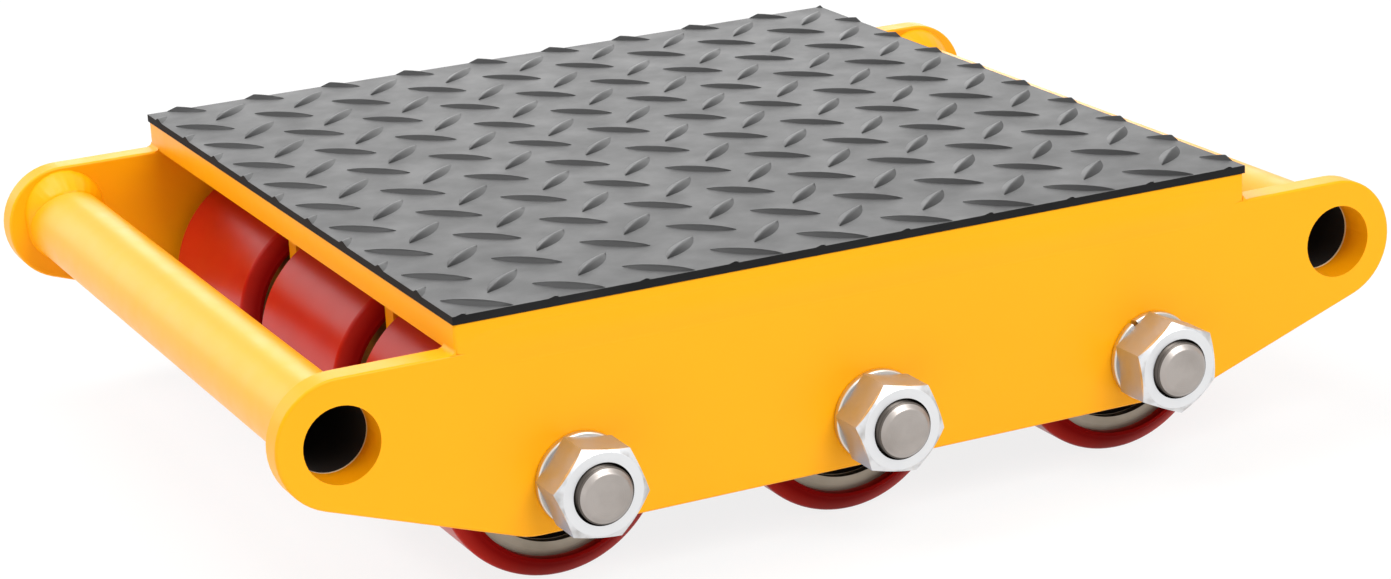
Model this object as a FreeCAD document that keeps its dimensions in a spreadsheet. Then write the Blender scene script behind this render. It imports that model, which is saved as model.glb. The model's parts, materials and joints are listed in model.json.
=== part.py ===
# Rigid machine skate: a welded steel frame with a rubber-covered platform, running on three axles
# of polyurethane-tyred rollers. Millimetres; +X along the skate, +Y across it to the far side, +Z up.
# The origin is on the floor under the middle of the platform.
import FreeCAD, Part
import math
import os
import Sketcher
from FreeCAD import Placement, Rotation, Vector

doc = FreeCAD.newDocument("machine_skate")

# Driving dimensions
driving = {
    "axle_dia": 20,
    "axle_proud": 3.5,          # axle end past its nut
    "axle_chamfer": 2,
    "axle_hole_play": 0.25,     # radial, in the plates
    "fit_play": 0.05,           # radial, on seats
    "inner_ring_share": 0.2625, # of the bearing's section, axle to outside
    "outer_ring_share": 0.225,
    "bearing_dia": 52,
    "bearing_width": 15,
    "bearing_chamfer": 0.8,
    "seal_thickness": 1.2,
    "seal_inset": 0.4,          # seal face below the ring face
    "seal_lip_gap": 0.2,        # seal lip to inner ring
    "core_wall": 8,             # round the bearing pocket
    "core_shoulder": 4,         # step that the bearing rests on
    "core_inset": 3.5,          # core face inside the tread's end
    "recess_step": 3,           # recess wider than the bearing, on the radius
    "recess_depth": 3,
    "tread_wall": 7.5,
    "tread_lip": 1.2,           # flat ring left at the tread's end
    "tread_bevel": 4.5,         # along the axle
    "tread_round": 2,
    "roller_width": 85,
    "roller_gap": 3.5,          # roller end to plate
    "side_room": 4,             # more at the side plates
    "roller_spacing": 28,       # between neighbouring treads along the skate
    "roller_headroom": 8.7,     # tread to platform
    "spacer_wall": 4,
    "divider_thickness": 8,
    "divider_past_axle": 22,
    "divider_corner": 18,
    "side_thickness": 10,
    "side_below_axle": 17.5,
    "side_flat": 252,           # straight lower edge
    "side_corner": 24,
    "edge_round": 1,            # painted plate edges
    "tow_hole_dia": 26.5,
    "tube_step": 0.1,           # tube bore wider than the tow hole, on the radius
    "tube_wall": 1.5,
    "ear_margin": 7.65,         # ear past the tube, on the radius
    "hand_gap": 24.65,          # tube to the nearest tread
    "handle_weld_leg": 5,
    "handle_weld_toe": 0.5,
    "platform_length": 303,
    "platform_thickness": 10,
    "cap_weld_height": 14,
    "cap_weld_bulge": 0.9,
    "cap_weld_end": 1,          # bead stops short of the platform's end
    "under_weld_leg": 4,
    "under_weld_end": 6,        # bead stops short of the divider's end
    "mat_overhang": 0.3,
    "mat_thickness": 3,
    "bar_length": 26,
    "bar_width": 8,
    "bar_crest": 2.8,           # flat width along the top of a bar
    "bar_height": 1.1,
    "bar_pitch_x": 32.6,
    "bar_pitch_y": 34.5,
    "bar_margin_x": 12.6,       # mat edge to the first bar's middle
    "bar_margin_y": 9.9,
    "bar_slant": 45,            # degrees
    "washer_dia": 32.8,
    "washer_play": 0.5,
    "washer_thickness": 3,
    "washer_split": 1.6,
    "washer_slant": 15,         # degrees
    "nut_flats": 30,
    "nut_height": 16,
    "nut_chamfer": 0.75,        # on the radius, inside the flats
    "nut_chamfer_angle": 30,    # degrees
    "nut_countersink": 0.8,
}

# Places and sizes that follow from the driving dimensions
derived = {
    "core_dia": "sizes.bearing_dia + 2 * sizes.core_wall",
    "core_width": "sizes.roller_width - 2 * sizes.core_inset",
    "roller_dia": "core_dia + 2 * sizes.tread_wall",
    "axle_z": "roller_dia / 2",
    "axle_pitch": "roller_dia + sizes.roller_spacing",
    "bay_width": "sizes.roller_width + 2 * sizes.roller_gap",
    "roller_pitch": "bay_width + sizes.divider_thickness",
    "side_inner": "1.5 * bay_width + sizes.divider_thickness + sizes.side_room",
    "side_outer": "side_inner + sizes.side_thickness",
    "side_top": "roller_dia + sizes.roller_headroom",
    "side_bottom": "axle_z - sizes.side_below_axle",
    "axle_hole_dia": "sizes.axle_dia + 2 * sizes.axle_hole_play",
    "seat_bore": "sizes.axle_dia + 2 * sizes.fit_play",
    "tube_bore": "sizes.tow_hole_dia + 2 * sizes.tube_step",
    "tube_dia": "tube_bore + 2 * sizes.tube_wall",
    "ear_radius": "tube_dia / 2 + sizes.ear_margin",
    "ear_x": "axle_pitch + roller_dia / 2 + sizes.hand_gap + tube_dia / 2",
    "ear_z": "side_top - ear_radius",
    "divider_end": "axle_pitch + sizes.divider_past_axle",
    "divider_y": "roller_pitch / 2",
    "platform_top": "side_top + sizes.platform_thickness",
    "mat_length": "sizes.platform_length + 2 * sizes.mat_overhang",
    "mat_width": "2 * side_outer + 2 * sizes.mat_overhang",
    "mat_top": "platform_top + sizes.mat_thickness",
    "bearing_outer_y": "core_width / 2 - sizes.recess_depth",
    "bearing_inner_y": "bearing_outer_y - sizes.bearing_width",
    "bearing_y": "bearing_outer_y - sizes.bearing_width / 2",
    "bearing_section": "(sizes.bearing_dia - sizes.axle_dia) / 2",
    "inner_ring_dia": "seat_bore + 2 * sizes.inner_ring_share * bearing_section",
    "outer_ring_dia": "sizes.bearing_dia - 2 * sizes.fit_play",
    "outer_ring_bore": "outer_ring_dia - 2 * sizes.outer_ring_share * bearing_section",
    "seal_y": "sizes.bearing_width / 2 - sizes.seal_inset - sizes.seal_thickness / 2",
    "spacer_length": "bay_width / 2 - bearing_outer_y",
    "spacer_y": "bearing_outer_y + spacer_length / 2",
    "end_spacer_length": "spacer_length + sizes.side_room",
    "end_spacer_y": "side_inner - end_spacer_length / 2",
    "washer_y": "side_outer + sizes.washer_thickness / 2",
    "nut_y": "side_outer + sizes.washer_thickness",
    "axle_end": "nut_y + sizes.nut_height + sizes.axle_proud",
    "nut_corner": "sizes.nut_flats / 2 / cos(30 deg)",
    "nut_round": "sizes.nut_flats / 2 - sizes.nut_chamfer",
    "nut_bevel": "(nut_corner - nut_round) * tan(sizes.nut_chamfer_angle * 1 deg)",
    "handle_weld_dia": "tube_dia + 2 * sizes.handle_weld_leg",
    "handle_weld_hollow": "sizes.handle_weld_leg - sizes.handle_weld_toe",
    "cap_weld_length": "sizes.platform_length - 2 * sizes.cap_weld_end",
    "under_weld_length": "2 * divider_end - 2 * sizes.under_weld_end",
    "bar_arc": "(sizes.bar_length ^ 2 + sizes.bar_width ^ 2) / (4 * sizes.bar_width)",
    "bar_slope": "(sizes.bar_width - sizes.bar_crest) / 2",
}


def new_sheet(name, cells, lead=""):
    sheet = doc.addObject("Spreadsheet::Sheet", name)
    for row, (alias, content) in enumerate(cells.items(), start=1):
        sheet.set(f"A{row}", alias)
        sheet.set(f"B{row}", lead + str(content))
        sheet.setAlias(f"B{row}", alias)
    doc.recompute()
    return sheet


sizes = new_sheet("sizes", driving)
layout = new_sheet("layout", derived, lead="=")

nodes = []
columns = {"left": "0 - layout.axle_pitch", "middle": "0", "right": "layout.axle_pitch"}
rows = {"front": "0 - layout.roller_pitch", "centre": "0", "rear": "layout.roller_pitch"}
sides = {"front": -1, "rear": 1}
ends = {"left": -1, "right": 1}
along_y = Rotation(Vector(1, 0, 0), -90)    # turns a piece made along +Z to lie along +Y
half_turn = Rotation(Vector(0, 0, 1), 180)


def value(expression):
    return float(sizes.evalExpression(expression))


def keep(piece, label):
    piece.Label = label
    nodes.append(piece)
    return piece


# Sketch and body helpers
def new_body(name):
    return doc.addObject("PartDesign::Body", name)


def new_sketch(body, name, role, offset="0"):
    sketch = body.newObject("Sketcher::SketchObject", name)
    plane = next(item for item in body.Origin.OriginFeatures if item.Role == role)
    sketch.AttachmentSupport = [(plane, "")]
    sketch.MapMode = "FlatFace"
    sketch.setExpression("AttachmentOffset.Base.z", offset)
    return sketch


def bind(sketch, kind, places, expression):
    number = sketch.addConstraint(Sketcher.Constraint(kind, *places, value(expression)))
    sketch.setExpression(f"Constraints[{number}]", expression)


def pin_point(sketch, piece, point, u, v):
    bind(sketch, "DistanceX", (-1, 1, piece, point), u)
    bind(sketch, "DistanceY", (-1, 1, piece, point), v)


def add_polygon(sketch, corners):
    points = [Vector(value(u), value(v), 0) for u, v in corners]
    lines = [
        sketch.addGeometry(Part.LineSegment(start, end), False)
        for start, end in zip(points, points[1:] + points[:1])
    ]
    for line, before, (u, v) in zip(lines, lines[-1:] + lines[:-1], corners):
        sketch.addConstraint(Sketcher.Constraint("Coincident", before, 2, line, 1))
        pin_point(sketch, line, 1, u, v)


def add_circle(sketch, u, v, diameter):
    middle = Vector(value(u), value(v), 0)
    ring = sketch.addGeometry(Part.Circle(middle, Vector(0, 0, 1), value(diameter) / 2), False)
    pin_point(sketch, ring, 3, u, v)
    bind(sketch, "Diameter", (ring,), diameter)


def pad(body, sketch, length, reverse=False):
    feature = body.newObject("PartDesign::Pad", f"{sketch.Name}_pad")
    feature.Profile = sketch
    feature.setExpression("Length", length)
    feature.Reversed = reverse
    return feature


def turn(body, sketch, kind="Revolution"):
    feature = body.newObject(f"PartDesign::{kind}", f"{sketch.Name}_turned")
    feature.Profile = sketch
    feature.ReferenceAxis = (sketch, ["V_Axis"])
    feature.Angle = 360
    return feature


def dress(body, kind, size, wanted=None):
    # rounds or bevels every edge of the body, or only the wanted ones
    doc.recompute()
    base = body.Tip
    edges = [
        f"Edge{number}"
        for number, edge in enumerate(base.Shape.Edges, start=1)
        if wanted is None or wanted(edge)
    ]
    feature = body.newObject(f"PartDesign::{kind}", f"{base.Name}_{kind.lower()}")
    feature.Base = (base, edges)
    feature.setExpression("Radius" if kind == "Fillet" else "Size", size)
    return feature


def ring_body(name, outer, bore, length, bevel=None):
    # a plain ring along Y, centred on the origin
    body = new_body(name)
    sketch = new_sketch(body, f"{name}_section", "XZ_Plane", f"{length} / 2")
    add_circle(sketch, "0", "0", outer)
    add_circle(sketch, "0", "0", bore)
    pad(body, sketch, length, reverse=True)
    if bevel:
        dress(body, "Chamfer", bevel)
    return body


def copies(label, source, places):
    # places holds (x, y, z, rotation), the first three as expressions
    links = []
    for number, (x, y, z, rotation) in enumerate(places, start=1):
        link = doc.addObject("App::Link", f"{label}_{number}")
        link.LinkedObject = source
        link.Placement = Placement(Vector(0, 0, 0), rotation)
        link.setExpression("Placement.Base.x", x)
        link.setExpression("Placement.Base.y", y)
        link.setExpression("Placement.Base.z", z)
        links.append(link)
    group = doc.addObject("Part::Compound", label)
    group.Links = links
    return keep(group, label)


# Side plates: straight top edge, rounded ears, lower edge rising to the ears on tangents
def side_plate(name, side):
    body = new_body(f"side_plate_{name}")
    sketch = new_sketch(body, f"side_outline_{name}", "XZ_Plane", f"{-side} * layout.side_inner")
    ear_x, ear_z, ear_r = value("layout.ear_x"), value("layout.ear_z"), value("layout.ear_radius")
    flat_x, low_z, corner_r = value("sizes.side_flat") / 2, value("layout.side_bottom"), value("sizes.side_corner")
    corner_z = low_z + corner_r
    reach_x, reach_z = ear_x - flat_x, ear_z - corner_z
    reach = math.hypot(reach_x, reach_z)
    # the common tangent's lower normal, seen from the corner's and the ear's centres
    lean = math.atan2(reach_z, reach_x) - math.pi / 2 + math.asin((ear_r - corner_r) / reach)
    normal_x, normal_z = math.cos(lean), math.sin(lean)

    def point(x, z):
        return Vector(x, z, 0)

    def arc(x, z, radius, first, last):
        circle = Part.Circle(point(x, z), Vector(0, 0, 1), radius)
        return sketch.addGeometry(Part.ArcOfCircle(circle, first, last), False)

    def line(start, end):
        return sketch.addGeometry(Part.LineSegment(start, end), False)

    right_low = point(flat_x + corner_r * normal_x, corner_z + corner_r * normal_z)
    right_ear = point(ear_x + ear_r * normal_x, ear_z + ear_r * normal_z)
    left_low = point(-right_low.x, right_low.y)
    left_ear = point(-right_ear.x, right_ear.y)
    quarter = math.pi / 2
    bottom = line(point(-flat_x, low_z), point(flat_x, low_z))
    right_corner = arc(flat_x, corner_z, corner_r, -quarter, lean)
    right_slope = line(right_low, right_ear)
    right_round = arc(ear_x, ear_z, ear_r, lean, quarter)
    top = line(point(ear_x, ear_z + ear_r), point(-ear_x, ear_z + ear_r))
    left_round = arc(-ear_x, ear_z, ear_r, quarter, math.pi - lean)
    left_slope = line(left_ear, left_low)
    left_corner = arc(-flat_x, corner_z, corner_r, math.pi - lean, math.pi + quarter)
    loop = [bottom, right_corner, right_slope, right_round, top, left_round, left_slope, left_corner]
    for piece, following in zip(loop, loop[1:] + loop[:1]):
        sketch.addConstraint(Sketcher.Constraint("Tangent", piece, 2, following, 1))
    pin_point(sketch, bottom, 1, "0 - sizes.side_flat / 2", "layout.side_bottom")
    pin_point(sketch, bottom, 2, "sizes.side_flat / 2", "layout.side_bottom")
    for corner in (right_corner, left_corner):
        bind(sketch, "Radius", (corner,), "sizes.side_corner")
    for ear, sign in ((right_round, 1), (left_round, -1)):
        bind(sketch, "Radius", (ear,), "layout.ear_radius")
        pin_point(sketch, ear, 3, f"{sign} * layout.ear_x", "layout.ear_z")
    for sign in ends.values():
        add_circle(sketch, f"{sign} * layout.ear_x", "layout.ear_z", "sizes.tow_hole_dia")
    for x in columns.values():
        add_circle(sketch, x, "layout.axle_z", "layout.axle_hole_dia")
    pad(body, sketch, "sizes.side_thickness", reverse=side > 0)
    hole_r = max(value("sizes.tow_hole_dia"), value("layout.axle_hole_dia")) / 2

    def outline_edge(edge):
        flat = edge.BoundBox.YLength < 1e-6
        round_hole = hasattr(edge.Curve, "Radius") and edge.Curve.Radius < hole_r + 1e-6
        return flat and not round_hole

    dress(body, "Fillet", "sizes.edge_round", outline_edge)
    return keep(body, body.Name)


for name, side in sides.items():
    side_plate(name, side)

# Top plate, flush with the outer faces of the side plates
body = new_body("top_plate")
sketch = new_sketch(body, "top_plate_outline", "XY_Plane", "layout.side_top")
x, y = "sizes.platform_length / 2", "layout.side_outer"
add_polygon(sketch, [(f"0 - {x}", f"0 - {y}"), (x, f"0 - {y}"), (x, y), (f"0 - {x}", y)])
pad(body, sketch, "sizes.platform_thickness")
dress(body, "Fillet", "sizes.edge_round")
keep(body, "top_plate")

# Divider plates between the rows of rollers, with the lower corners cut off
for name, side in sides.items():
    body = new_body(f"divider_plate_{name}")
    near_face = f"{-side} * layout.divider_y + sizes.divider_thickness / 2"
    sketch = new_sketch(body, f"divider_outline_{name}", "XZ_Plane", near_face)
    end, low, high, cut = "layout.divider_end", "layout.side_bottom", "layout.side_top", "sizes.divider_corner"
    add_polygon(sketch, [
        (f"{cut} - {end}", low), (f"{end} - {cut}", low), (end, f"{low} + {cut}"),
        (end, high), (f"0 - {end}", high), (f"0 - {end}", f"{low} + {cut}"),
    ])
    for x in columns.values():
        add_circle(sketch, x, "layout.axle_z", "layout.axle_hole_dia")
    pad(body, sketch, "sizes.divider_thickness", reverse=True)
    keep(body, body.Name)

# Handle tubes between the ears, in line with the tow holes
tube = ring_body("handle_tube", "layout.tube_dia", "layout.tube_bore", "2 * layout.side_inner")
for name, end in ends.items():
    copies(f"handle_tube_{name}", tube, [(f"{end} * layout.ear_x", "0", "layout.ear_z", Rotation())])


# Hollow fillet welds round the tubes, against the ears' inner faces
def primitive(kind, name, **expressions):
    piece = doc.addObject(f"Part::{kind}", name)
    for size, expression in expressions.items():
        piece.setExpression(size, expression)
    return piece


def cut(name, base, tool):
    piece = doc.addObject("Part::Cut", name)
    piece.Base = base
    piece.Tool = tool
    return piece


weld_disc = primitive("Cylinder", "handle_weld_disc", Radius="layout.handle_weld_dia / 2", Height="sizes.handle_weld_leg")
weld_bore = primitive("Cylinder", "handle_weld_bore", Radius="layout.tube_dia / 2", Height="sizes.handle_weld_leg")
weld_hollow = primitive(
    "Torus", "handle_weld_hollow", Radius1="layout.handle_weld_dia / 2", Radius2="layout.handle_weld_hollow"
)
weld_hollow.setExpression("Placement.Base.z", "sizes.handle_weld_leg")
weld_ring = cut("handle_weld_ring", cut("handle_weld_blank", weld_disc, weld_bore), weld_hollow)
copies("handle_welds", weld_ring, [
    (f"{end} * layout.ear_x", f"{side} * layout.side_inner", "layout.ear_z", Rotation(Vector(1, 0, 0), 90 * side))
    for end in ends.values()
    for side in sides.values()
])

# Low, wide weld beads over the flush joint of top plate and side plates
body = new_body("cap_weld")
sketch = new_sketch(body, "cap_weld_section", "YZ_Plane", "0 - layout.cap_weld_length / 2")
height, bulge = "sizes.cap_weld_height", "sizes.cap_weld_bulge"
add_polygon(sketch, [
    ("0", f"-0.5 * {height}"), (f"0.6 * {bulge}", f"-0.36 * {height}"), (bulge, f"-0.14 * {height}"),
    (bulge, f"0.14 * {height}"), (f"0.6 * {bulge}", f"0.36 * {height}"), ("0", f"0.5 * {height}"),
])
pad(body, sketch, "layout.cap_weld_length")
copies("platform_welds", body, [
    ("0", f"{side} * layout.side_outer", "layout.side_top", Rotation() if side > 0 else half_turn)
    for side in sides.values()
])

# Fillet welds under the platform, along both faces of each divider
body = new_body("under_weld")
sketch = new_sketch(body, "under_weld_section", "YZ_Plane", "0 - layout.under_weld_length / 2")
leg = "sizes.under_weld_leg"
add_polygon(sketch, [("0", "0"), ("0", f"0 - {leg}"), (leg, "0")])
pad(body, sketch, "layout.under_weld_length")
copies("divider_welds", body, [
    (
        "0",
        f"{side} * layout.divider_y + {face} * sizes.divider_thickness / 2",
        "layout.side_top",
        Rotation() if face > 0 else half_turn,
    )
    for side in sides.values()
    for face in (-1, 1)
])

# Rubber mat: tapered lens bars, leaning both ways by turns, cut off at the mat's edges
bar_sides = []
for name, sign in (("near", 1), ("far", -1)):
    cone = primitive(
        "Cone", f"bar_side_{name}",
        Radius1="layout.bar_arc", Radius2="layout.bar_arc - layout.bar_slope", Height="sizes.bar_height",
    )
    cone.setExpression("Placement.Base.y", f"{sign} * (layout.bar_arc - sizes.bar_width / 2)")
    bar_sides.append(cone)
bar = doc.addObject("Part::Common", "tread_bar")
bar.Base, bar.Tool = bar_sides
doc.recompute()

mat_length, mat_width = value("layout.mat_length"), value("layout.mat_width")
corner = Vector(-mat_length / 2, -mat_width / 2, value("layout.platform_top"))
mat_base = Part.makeBox(mat_length, mat_width, value("sizes.mat_thickness"), corner)
mat_room = Part.makeBox(mat_length, mat_width, value("sizes.mat_thickness + sizes.bar_height"), corner)
margin_x, margin_y = value("sizes.bar_margin_x"), value("sizes.bar_margin_y")
slant = value("sizes.bar_slant")
pitch_x, pitch_y = value("sizes.bar_pitch_x"), value("sizes.bar_pitch_y")
reach = value("sizes.bar_length") / 2
bars = []
for lean, shift in ((-slant, 0), (slant, -0.5)):
    first_x = corner.x + margin_x + shift * pitch_x
    first_y = corner.y + margin_y + shift * pitch_y
    for column in range(math.ceil((mat_length + reach) / pitch_x) + 1):
        for row in range(math.ceil((mat_width + reach) / pitch_y) + 1):
            place = Vector(first_x + column * pitch_x, first_y + row * pitch_y, value("layout.mat_top"))
            piece = bar.Shape.copy()
            piece.Placement = Placement(place, Rotation(Vector(0, 0, 1), lean))
            box = piece.BoundBox
            inside = max(abs(box.XMin), box.XMax) < mat_length / 2 and max(abs(box.YMin), box.YMax) < mat_width / 2
            piece = piece if inside else piece.common(mat_room)
            if piece.Solids:
                bars.append(piece)
mat = doc.addObject("Part::Feature", "rubber_mat")
mat.Shape = mat_base.multiFuse(bars).Solids[0]
keep(mat, "rubber_mat")

# Axles: plain studs through the whole frame, bevelled at both ends
for name, x in columns.items():
    body = new_body(f"axle_{name}")
    sketch = new_sketch(body, f"axle_section_{name}", "XZ_Plane", "layout.axle_end")
    add_circle(sketch, x, "layout.axle_z", "sizes.axle_dia")
    pad(body, sketch, "2 * layout.axle_end", reverse=True)
    dress(body, "Chamfer", "sizes.axle_chamfer", lambda edge: edge.BoundBox.YLength < 1e-6)
    keep(body, body.Name)

# Nuts: hexagon with corners bevelled at the outer face only and a countersunk bore
nut = new_body("nut")
sketch = new_sketch(nut, "nut_outline", "XZ_Plane")
add_polygon(sketch, [
    (f"layout.nut_corner * cos({angle} deg)", f"layout.nut_corner * sin({angle} deg)") for angle in range(0, 360, 60)
])
add_circle(sketch, "0", "0", "layout.seat_bore")
pad(nut, sketch, "sizes.nut_height")
seat_r = value("layout.seat_bore") / 2
dress(nut, "Chamfer", "sizes.nut_countersink", lambda edge: abs(getattr(edge.Curve, "Radius", 0) - seat_r) < 1e-6)
corners = new_sketch(nut, "nut_corners", "XY_Plane")
inner, outer, bevel = "layout.nut_round", "2 * layout.nut_corner - layout.nut_round", "2 * layout.nut_bevel"
add_polygon(corners, [
    (inner, "0 - sizes.nut_height"), (outer, f"{bevel} - sizes.nut_height"), (outer, "0 - sizes.nut_height")
])
turn(nut, corners, "Groove")
nut_turns = {"front": (9, 11, 24), "rear": (17, 38, 4)}    # degrees, as each nut was left on tightening
copies("axle_nuts", nut, [
    (x, f"{side} * layout.nut_y", "layout.axle_z", Rotation(Vector(0, 1, 0), angle).multiply(
        half_turn if side > 0 else Rotation()))
    for name, side in sides.items()
    for x, angle in zip(columns.values(), nut_turns[name])
])

# Spring washers under the nuts, each with a slanted split
washer_ring = ring_body(
    "washer_ring", "sizes.washer_dia", "sizes.axle_dia + 2 * sizes.washer_play", "sizes.washer_thickness"
)
split = primitive(
    "Box", "washer_split_gap",
    Length="sizes.washer_split", Width="2 * sizes.washer_thickness", Height="sizes.washer_dia / 2",
)
split.Placement = Placement(Vector(0, 0, 0), Rotation(Vector(0, 0, 1), value("sizes.washer_slant")))
split.setExpression("Placement.Base.x", "0 - sizes.washer_split / 2")
split.setExpression("Placement.Base.y", "0 - sizes.washer_thickness")
split.setExpression("Placement.Base.z", "sizes.axle_dia / 4")
washer = cut("washer", washer_ring, split)
washer_turns = {"front": (140, 165, -30), "rear": (80, -110, 25)}    # degrees, as each washer was left
copies("axle_washers", washer, [
    (x, f"{side} * layout.washer_y", "layout.axle_z", Rotation(Vector(0, 1, 0), angle))
    for name, side in sides.items()
    for x, angle in zip(columns.values(), washer_turns[name])
])

# Axle stack of each roller: spacers against the plates, bearing inner rings, distance tube between
inner_ring = ring_body(
    "inner_ring", "layout.inner_ring_dia", "layout.seat_bore", "sizes.bearing_width", "sizes.bearing_chamfer"
)
spacer_dia = "layout.seat_bore + 2 * sizes.spacer_wall"
distance_tube = ring_body("distance_tube", spacer_dia, "layout.seat_bore", "2 * layout.bearing_inner_y")
spacer = ring_body("spacer", spacer_dia, "layout.seat_bore", "layout.spacer_length")
end_spacer = ring_body("end_spacer", spacer_dia, "layout.seat_bore", "layout.end_spacer_length")
roller_places = {
    f"{column}_{row}": (x, y) for column, x in columns.items() for row, y in rows.items()
}


def stack(label, source, offset):
    # one copy at each end of every roller, or one in the middle where there is no offset
    shifts = [f" - {offset}", f" + {offset}"] if offset else [""]
    copies(label, source, [
        (x, y + shift, "layout.axle_z", Rotation()) for x, y in roller_places.values() for shift in shifts
    ])


stack("bearing_inner_rings", inner_ring, "layout.bearing_y")
stack("bearing_distance_tubes", distance_tube, None)
inner_ends = {"front": (1,), "centre": (-1, 1), "rear": (-1,)}    # roller ends that face a divider
copies("axle_spacers", spacer, [
    (x, f"{rows[row]} + {end} * layout.spacer_y", "layout.axle_z", Rotation())
    for x in columns.values()
    for row, facing in inner_ends.items()
    for end in facing
])
copies("axle_end_spacers", end_spacer, [
    (x, f"{side} * layout.end_spacer_y", "layout.axle_z", Rotation())
    for side in sides.values()
    for x in columns.values()
])

# Roller tread: a tyre cast on the core, with long bevelled ends
tread = new_body("tread")
sketch = new_sketch(tread, "tread_section", "XY_Plane")
bore, lip, rim = "layout.core_dia / 2", "(layout.core_dia / 2 + sizes.tread_lip)", "layout.roller_dia / 2"
end, shoulder = "sizes.roller_width / 2", "(sizes.roller_width / 2 - sizes.tread_bevel)"
add_polygon(sketch, [
    (bore, f"0 - {end}"), (lip, f"0 - {end}"), (rim, f"0 - {shoulder}"),
    (rim, shoulder), (lip, end), (bore, end),
])
turn(tread, sketch)
rim_r = value("layout.roller_dia") / 2
dress(tread, "Fillet", "sizes.tread_round", lambda edge: abs(getattr(edge.Curve, "Radius", 0) - rim_r) < 1e-6)

# Roller core: a steel sleeve with a recess and a bearing pocket at each end
core = new_body("core")
sketch = new_sketch(core, "core_section", "XY_Plane")
outside, recess = "layout.core_dia / 2", "(sizes.bearing_dia / 2 + sizes.recess_step)"
pocket, shoulder = "sizes.bearing_dia / 2", "(sizes.bearing_dia / 2 - sizes.core_shoulder)"
face, floor, seat = "layout.core_width / 2", "layout.bearing_outer_y", "layout.bearing_inner_y"
far_half = [(outside, face), (recess, face), (recess, floor), (pocket, floor), (pocket, seat), (shoulder, seat)]
near_half = [(radius, f"0 - {place}") for radius, place in reversed(far_half)]
add_polygon(sketch, far_half + near_half)
turn(core, sketch)

# Bearing outer rings and their rubber seals
outer_ring = ring_body(
    "outer_ring", "layout.outer_ring_dia", "layout.outer_ring_bore", "sizes.bearing_width", "sizes.bearing_chamfer"
)
seal = ring_body(
    "seal", "layout.outer_ring_bore - 2 * sizes.fit_play", "layout.inner_ring_dia + 2 * sizes.seal_lip_gap",
    "sizes.seal_thickness",
)
for name, (x, y) in roller_places.items():
    at_middle = [(x, y, "layout.axle_z", Rotation())]
    bearings = [(x, f"{y} + {end} * layout.bearing_y", "layout.axle_z", Rotation()) for end in ends.values()]
    seals = [
        (x, f"{y} + {end} * layout.bearing_y + {face} * layout.seal_y", "layout.axle_z", Rotation())
        for end in ends.values()
        for face in (-1, 1)
    ]
    copies(f"tread_{name}", tread, at_middle)
    copies(f"core_{name}", core, at_middle)
    copies(f"bearing_outer_rings_{name}", outer_ring, bearings)
    copies(f"bearing_seals_{name}", seal, seals)

# Checks, then one file for each piece
doc.recompute()
for item in doc.Objects:
    if {"Invalid", "Error"} & set(item.State):
        raise RuntimeError(f"{item.Label} failed: {item.State}")
for piece in nodes:
    if piece.Shape.isNull() or not piece.Shape.isValid() or not piece.Shape.Solids:
        raise RuntimeError(f"{piece.Label} has no valid solid")
os.makedirs("parts", exist_ok=True)
for piece in nodes:
    piece.Shape.exportStep(f"parts/{piece.Label}.step")
print(f"{len(nodes)} pieces written")
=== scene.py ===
import bpy
import bmesh
import json
import math
from mathutils import Matrix, Vector


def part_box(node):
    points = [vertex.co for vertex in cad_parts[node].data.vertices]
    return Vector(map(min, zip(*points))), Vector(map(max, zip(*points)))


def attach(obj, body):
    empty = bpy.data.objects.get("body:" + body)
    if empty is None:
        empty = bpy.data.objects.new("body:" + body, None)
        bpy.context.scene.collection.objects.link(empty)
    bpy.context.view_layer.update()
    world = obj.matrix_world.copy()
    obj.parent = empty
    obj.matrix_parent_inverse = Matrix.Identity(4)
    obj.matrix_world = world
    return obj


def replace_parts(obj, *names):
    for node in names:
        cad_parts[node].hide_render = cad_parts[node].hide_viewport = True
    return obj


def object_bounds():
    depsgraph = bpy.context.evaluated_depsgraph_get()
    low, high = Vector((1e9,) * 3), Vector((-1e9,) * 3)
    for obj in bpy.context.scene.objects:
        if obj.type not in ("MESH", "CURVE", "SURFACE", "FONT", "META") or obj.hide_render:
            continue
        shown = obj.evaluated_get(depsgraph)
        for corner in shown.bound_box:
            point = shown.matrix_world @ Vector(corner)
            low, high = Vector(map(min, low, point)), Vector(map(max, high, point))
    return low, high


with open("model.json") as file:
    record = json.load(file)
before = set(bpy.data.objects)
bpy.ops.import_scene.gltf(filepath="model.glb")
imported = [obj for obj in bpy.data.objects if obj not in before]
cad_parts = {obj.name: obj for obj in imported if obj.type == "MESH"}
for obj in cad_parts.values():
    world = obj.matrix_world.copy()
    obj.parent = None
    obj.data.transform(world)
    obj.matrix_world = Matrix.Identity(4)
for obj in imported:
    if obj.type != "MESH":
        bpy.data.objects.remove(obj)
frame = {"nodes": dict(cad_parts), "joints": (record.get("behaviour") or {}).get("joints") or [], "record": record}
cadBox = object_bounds()
nodes = frame["nodes"]
mm = 0.001

# points closer than the first are one point, and an edge longer than the second isn't part of a rounding
mergeDistance = 0.001 * mm
shortEdge = 1 * mm
# the middle of a noise's range, where nearly all of its values lie
noiseSpan = {"From Min": 0.3, "From Max": 0.7}

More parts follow.
